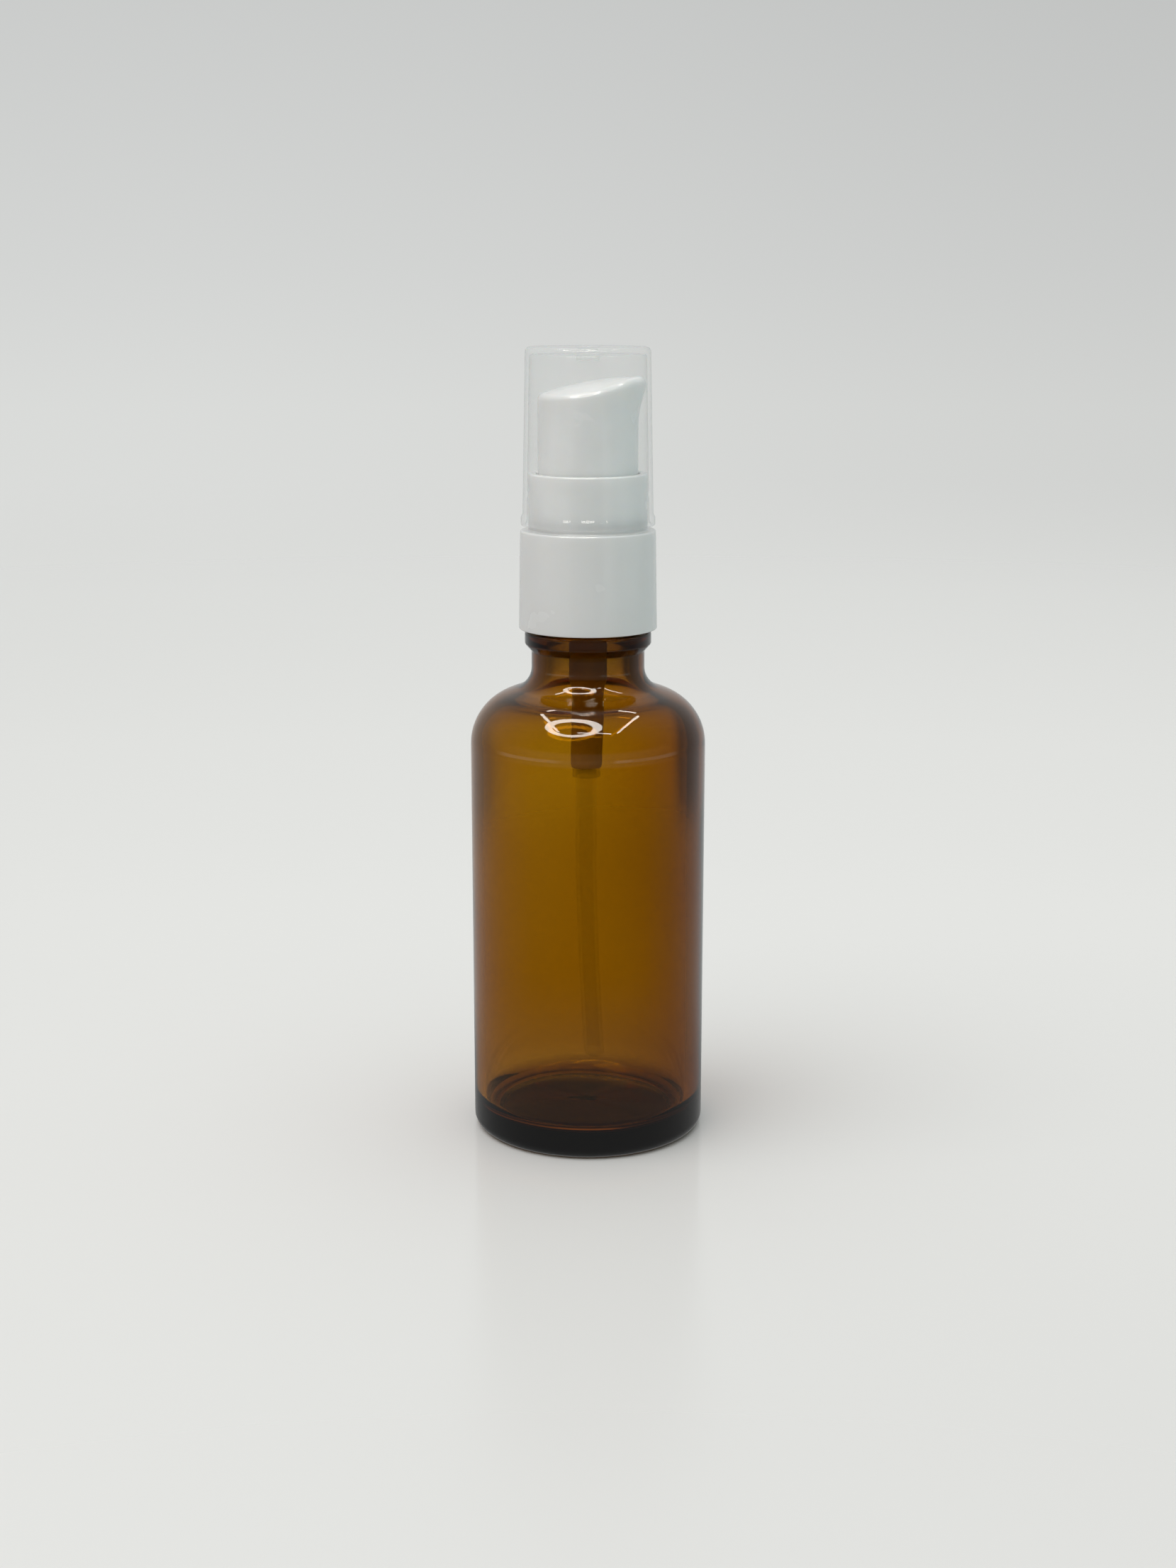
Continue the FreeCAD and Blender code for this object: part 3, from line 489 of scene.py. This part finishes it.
def make_spring():
    """The return spring's wire, which rides on the pump."""
    wire, coil, turns, low, high = 0.2, 1.65, 7.0, 70.2, 78.3
    sides, steps = 10, 260
    verts, faces = [], []
    for k in range(steps + 1):
        a, z = TURN * turns * k / steps, low + (high - low) * k / steps
        for s in range(sides):
            b = TURN * s / sides
            r = coil + wire * math.cos(b)
            verts.append((r * math.cos(a), r * math.sin(a), z + wire * math.sin(b)))
        if k:
            first = (k - 1) * sides
            faces += [[first + s, first + (s + 1) % sides, first + sides + (s + 1) % sides,
                       first + sides + s] for s in range(sides)]
    faces += [list(range(sides)), list(range(steps * sides, (steps + 1) * sides))]
    spring = new_piece("spring_coil", verts, faces, "pump", "spring_steel", "return_spring")
    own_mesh(spring)


make_bottle()
make_closure()
make_overcap()
make_spring()


# ---------------------------------------------------------------- camera, floor, light

CAMERA_BACK, CAMERA_UP, CAMERA_TILT = 0.34363, 0.13453, 77.21
FLOOR_REACH, FLOOR_SIDES = 3.0, 64


def make_camera():
    """The camera in front of the bottle, looking a little down."""
    data = bpy.data.cameras.new("camera")
    data.lens, data.sensor_width = 50.66, 36.0
    camera = bpy.data.objects.new("camera", data)
    camera.location = (0, -CAMERA_BACK, CAMERA_UP)
    camera.rotation_euler = (math.radians(CAMERA_TILT), 0, 0)
    bpy.context.scene.collection.objects.link(camera)
    bpy.context.scene.camera = camera


def stage_mesh(name, verts, faces, material):
    """A mesh that belongs to the stage and not to the object."""
    mesh = bpy.data.meshes.new(name)
    mesh.from_pydata(verts, [], faces)
    mesh.materials.append(material)
    item = bpy.data.objects.new(name, mesh)
    bpy.context.scene.collection.objects.link(item)
    return item


def circle(radius, count, centre=(0, 0, 0)):
    """Points round a level circle."""
    cx, cy, cz = centre
    return [(cx + radius * math.cos(TURN * k / count), cy + radius * math.sin(TURN * k / count), cz)
            for k in range(count)]


def floor_color(tree, through, away):
    """Paper white with painted shade towards the front right, and painted shadow where seen through
    the glass.
    """
    side, depth = node(tree, "SeparateXYZ", {0: object_place(tree)}).outputs[:2]
    # Painted shade: the paper is darker towards the front right.
    front = fraction(tree, depth, 0.10, -0.10)
    across = fraction(tree, side, -0.066, 0.065, 0.5, 1.0)
    paper_with_painted_shade = blended(tree, product(tree, front, across),
                    (0.785, 0.778, 0.763, 1), (0.72, 0.713, 0.70, 1))
    # Painted shadow of the bottle on the floor behind it, brownish on the left and greenish on the
    # right, seen only through the glass.
    painted_shadow_behind = blended(tree, fraction(tree, side, 0.0, 0.05),
                       (0.54, 0.48, 0.43, 1), (0.51, 0.56, 0.51, 1))
    past_foot = fraction(tree, away, 0.018, 0.04)
    return blended(tree, product(tree, through, past_foot), paper_with_painted_shade, painted_shadow_behind)


def make_floor():
    """A pale floor that fades into the backdrop far from the object, and sooner through the glass.

    It is glossy only at a slant, so that the lamps don't show in it from above.
    """
    material, tree, out = new_material("floor_painted_shade_look")
    through = node(tree, "LightPath").outputs["Is Transmission Ray"]
    away = node(tree, "VectorMath", {0: object_place(tree)}, operation="LENGTH").outputs["Value"]
    far = fraction(tree, away, 0.35, 1.3, smooth=True)
    near = fraction(tree, away, 0.16, 0.3, smooth=True)
    fade = node(tree, "Mix", {0: through, 2: far, 3: near}).outputs[0]
    slant = node(tree, "LayerWeight", {"Blend": 0.5}).outputs["Facing"]
    shader = node(tree, "BsdfPrincipled", {
        "Base Color": floor_color(tree, through, away), "Specular IOR Level": 0.4,
        "Roughness": fraction(tree, slant, 0.3, 0.6, 0.7, 0.12),
        "Normal": fine_bump(tree, 300.0, 0.00003, 0.2)})
    clear = node(tree, "BsdfTransparent")
    mix = node(tree, "MixShader", {0: fade, 1: shader.outputs[0], 2: clear.outputs[0]})
    tree.links.new(mix.outputs[0], out.inputs["Surface"])
    floor = stage_mesh("floor", circle(FLOOR_REACH, FLOOR_SIDES), [range(FLOOR_SIDES)], material)
    floor.visible_glossy = False


def glow(name, color, strength):
    """A material that only gives light."""
    material, tree, out = new_material(name)
    light = node(tree, "Emission", {"Color": (*color, 1), "Strength": strength})
    tree.links.new(light.outputs[0], out.inputs["Surface"])
    return material


def make_studio_lamps():
    """A ring lamp and five tubes overhead. They show only in reflections and through the glass."""
    height, around, half_width = 1.0, 96, 0.022
    centre, inner, outer = (-0.225, -0.44, height), 0.29, 0.42
    white = glow("lamp_look", (1.0, 0.95, 0.87), 13.0)
    verts = circle(inner, around, centre) + circle(outer, around, centre)
    faces = [[k, (k + 1) % around, around + (k + 1) % around, around + k] for k in range(around)]
    lamps = [stage_mesh("ring_lamp", verts, faces, white)]
    tube_ends = [((-0.425, 0.297), (-0.472, -0.536)), ((-0.332, 0.397), (-0.182, 0.462)),
                 ((0.194, 0.406), (0.428, 0.340)), ((0.498, 0.242), (0.494, -0.590)),
                 ((-0.174, -0.624), (0.395, -0.654))]
    for number, (start, end) in enumerate(tube_ends, 1):
        a, b = Vector(start), Vector(end)
        side = (b - a).normalized().orthogonal() * half_width
        corners = [(*(p + s), height) for p, s in ((a, side), (b, side), (b, -side), (a, -side))]
        lamps.append(stage_mesh("tube_lamp_%d" % number, corners, [[0, 1, 2, 3]], white))
    for lamp in lamps:
        lamp.visible_camera = lamp.visible_diffuse = lamp.visible_shadow = False


def make_key():
    """A broad, weak light from the front left, so the shadow falls to the right."""
    data = bpy.data.lights.new("key", "SUN")
    data.angle, data.energy, data.color = math.radians(48), 1.02, (1.0, 0.985, 0.96)
    key = bpy.data.objects.new("key", data)
    shines_towards = Vector((0.60, 0.42, -1.15))
    key.rotation_euler = shines_towards.to_track_quat("-Z", "Y").to_euler()
    key.visible_glossy = key.visible_transmission = key.visible_camera = False
    bpy.context.scene.collection.objects.link(key)


# ---------------------------------------------------------------- the room, by direction x, y, z

def ramp(tree, value, low, high, stops):
    """Colours along a value. Each stop is its place, from 0 at low to 1 at high, and its colour."""
    made = node(tree, "ValToRGB", {0: fraction(tree, value, low, high)})
    bar = made.color_ramp.elements
    while len(bar) < len(stops):
        bar.new(0.5)
    for mark, (at, color) in zip(bar, stops):
        mark.position, mark.color = at, (*color, 1)
    return made.outputs[0]


def backdrop(tree, x, z):
    """What the camera sees past the floor: pale, darker upwards and to the right."""
    seen = ramp(tree, z, -0.26, 0.2, [
        (0.0, (0.735, 0.74, 0.725)), (0.45, (0.70, 0.71, 0.695)), (0.58, (0.655, 0.665, 0.655)),
        (1.0, (0.55, 0.56, 0.555))])
    dimmed = blended(tree, 0.9, (0, 0, 0, 1), seen)
    return blended(tree, fraction(tree, x, -0.2, 0.35, smooth=True), seen, dimmed)


def through_glass(tree, x, z, seen):
    """What shows through the glass: the backdrop, dark above it and darker at both sides."""
    above = fraction(tree, z, 0.10, 0.32, smooth=True)
    right = fraction(tree, x, 0.22, 0.40, smooth=True)
    left = fraction(tree, x, -0.10, -0.45, smooth=True)
    beyond = blended(tree, above, seen, (0.06, 0.065, 0.075, 1))
    beyond = blended(tree, right, beyond, (0.13, 0.145, 0.17, 1))
    return blended(tree, left, beyond, (0.32, 0.34, 0.35, 1))


def room_light(tree, x, z):
    """What lights the object: bright overhead and dim round it, cooler on the right."""
    room = ramp(tree, z, 0, 1, [
        (0.0, (0.14, 0.14, 0.14)), (0.45, (0.16, 0.16, 0.16)), (0.93, (1.42, 1.42, 1.41)),
        (1.0, (1.58, 1.58, 1.57))])
    cool = ramp(tree, z, 0, 1, [
        (0.0, (0.26, 0.45, 0.45)), (0.45, (0.20, 0.28, 0.28)), (0.93, (1.26, 1.35, 1.33)),
        (1.0, (1.56, 1.58, 1.56))])
    return blended(tree, fraction(tree, x, 0.1, 0.8, smooth=True), room, cool)


def reflected(tree, x, y, z):
    """What mirrors show: a room dark in front, with level bands for the neck and the caps."""
    low = ramp(tree, y, -0.9, 1.0, [
        (0.0, (0.004, 0.004, 0.004)), (0.2, (0.03, 0.03, 0.03)), (0.45, (0.14, 0.14, 0.14)),
        (0.75, (0.36, 0.36, 0.36)), (1.0, (0.57, 0.58, 0.57))])
    bands = ramp(tree, x, -1, 1, [
        (0.0, (0.70, 0.70, 0.67)), (0.22, (0.75, 0.735, 0.69)), (0.30, (0.32, 0.30, 0.27)),
        (0.70, (0.27, 0.26, 0.235)), (0.74, (0.85, 0.85, 0.82)), (0.82, (0.80, 0.82, 0.79)),
        (0.86, (0.42, 0.47, 0.45)), (1.0, (0.55, 0.61, 0.60))])
    front = fraction(tree, y, 0.2, -0.1, smooth=True)

    def level(bottom, top):
        """Where a direction in front rises past both ends of bottom and stays under both of top."""
        rise = fraction(tree, z, *bottom, smooth=True)
        fall = fraction(tree, z, *top, smooth=True)
        return product(tree, front, product(tree, rise, fall))

    neck_level = level((-0.196, -0.180), (0.28, 0.16))
    cap_level = level((-0.12, -0.105), (-0.015, -0.03))
    near_floor = fraction(tree, z, -0.30, -0.36, smooth=True)
    behind = blended(tree, neck_level, low, (0.17, 0.165, 0.165, 1))
    behind = blended(tree, cap_level, behind, bands)
    return blended(tree, near_floor, behind, (0.29, 0.29, 0.285, 1))


def make_world():
    """Pale backdrop for what is seen, a soft room for light, and a darker room for reflections."""
    world = bpy.data.worlds.new("studio")
    bpy.context.scene.world = world
    world.use_nodes = True
    tree = world.node_tree
    tree.nodes.clear()
    way = node(tree, "TexCoord").outputs["Generated"]
    x, y, z = node(tree, "SeparateXYZ", {0: way}).outputs
    path = node(tree, "LightPath")
    through = path.outputs["Is Transmission Ray"]
    # A transmission ray counts as a glossy ray too, so it is taken away from the mirrored ones.
    mirrored = node(tree, "Math", {0: path.outputs["Is Glossy Ray"], 1: through},
                    operation="SUBTRACT", use_clamp=True).outputs[0]
    seen = backdrop(tree, x, z)
    mix = node(tree, "Background", {"Color": room_light(tree, x, z)})
    for share, color in ((path.outputs["Is Camera Ray"], seen),
                         (through, through_glass(tree, x, z, seen)),
                         (mirrored, reflected(tree, x, y, z))):
        layer = node(tree, "Background", {"Color": color})
        mix = node(tree, "MixShader", {0: share, 1: mix.outputs[0], 2: layer.outputs[0]})
    out = node(tree, "OutputWorld")
    tree.links.new(mix.outputs[0], out.inputs["Surface"])


make_camera()
make_floor()
make_studio_lamps()
make_key()
make_world()
bpy.context.scene.view_settings.view_transform = "Standard"
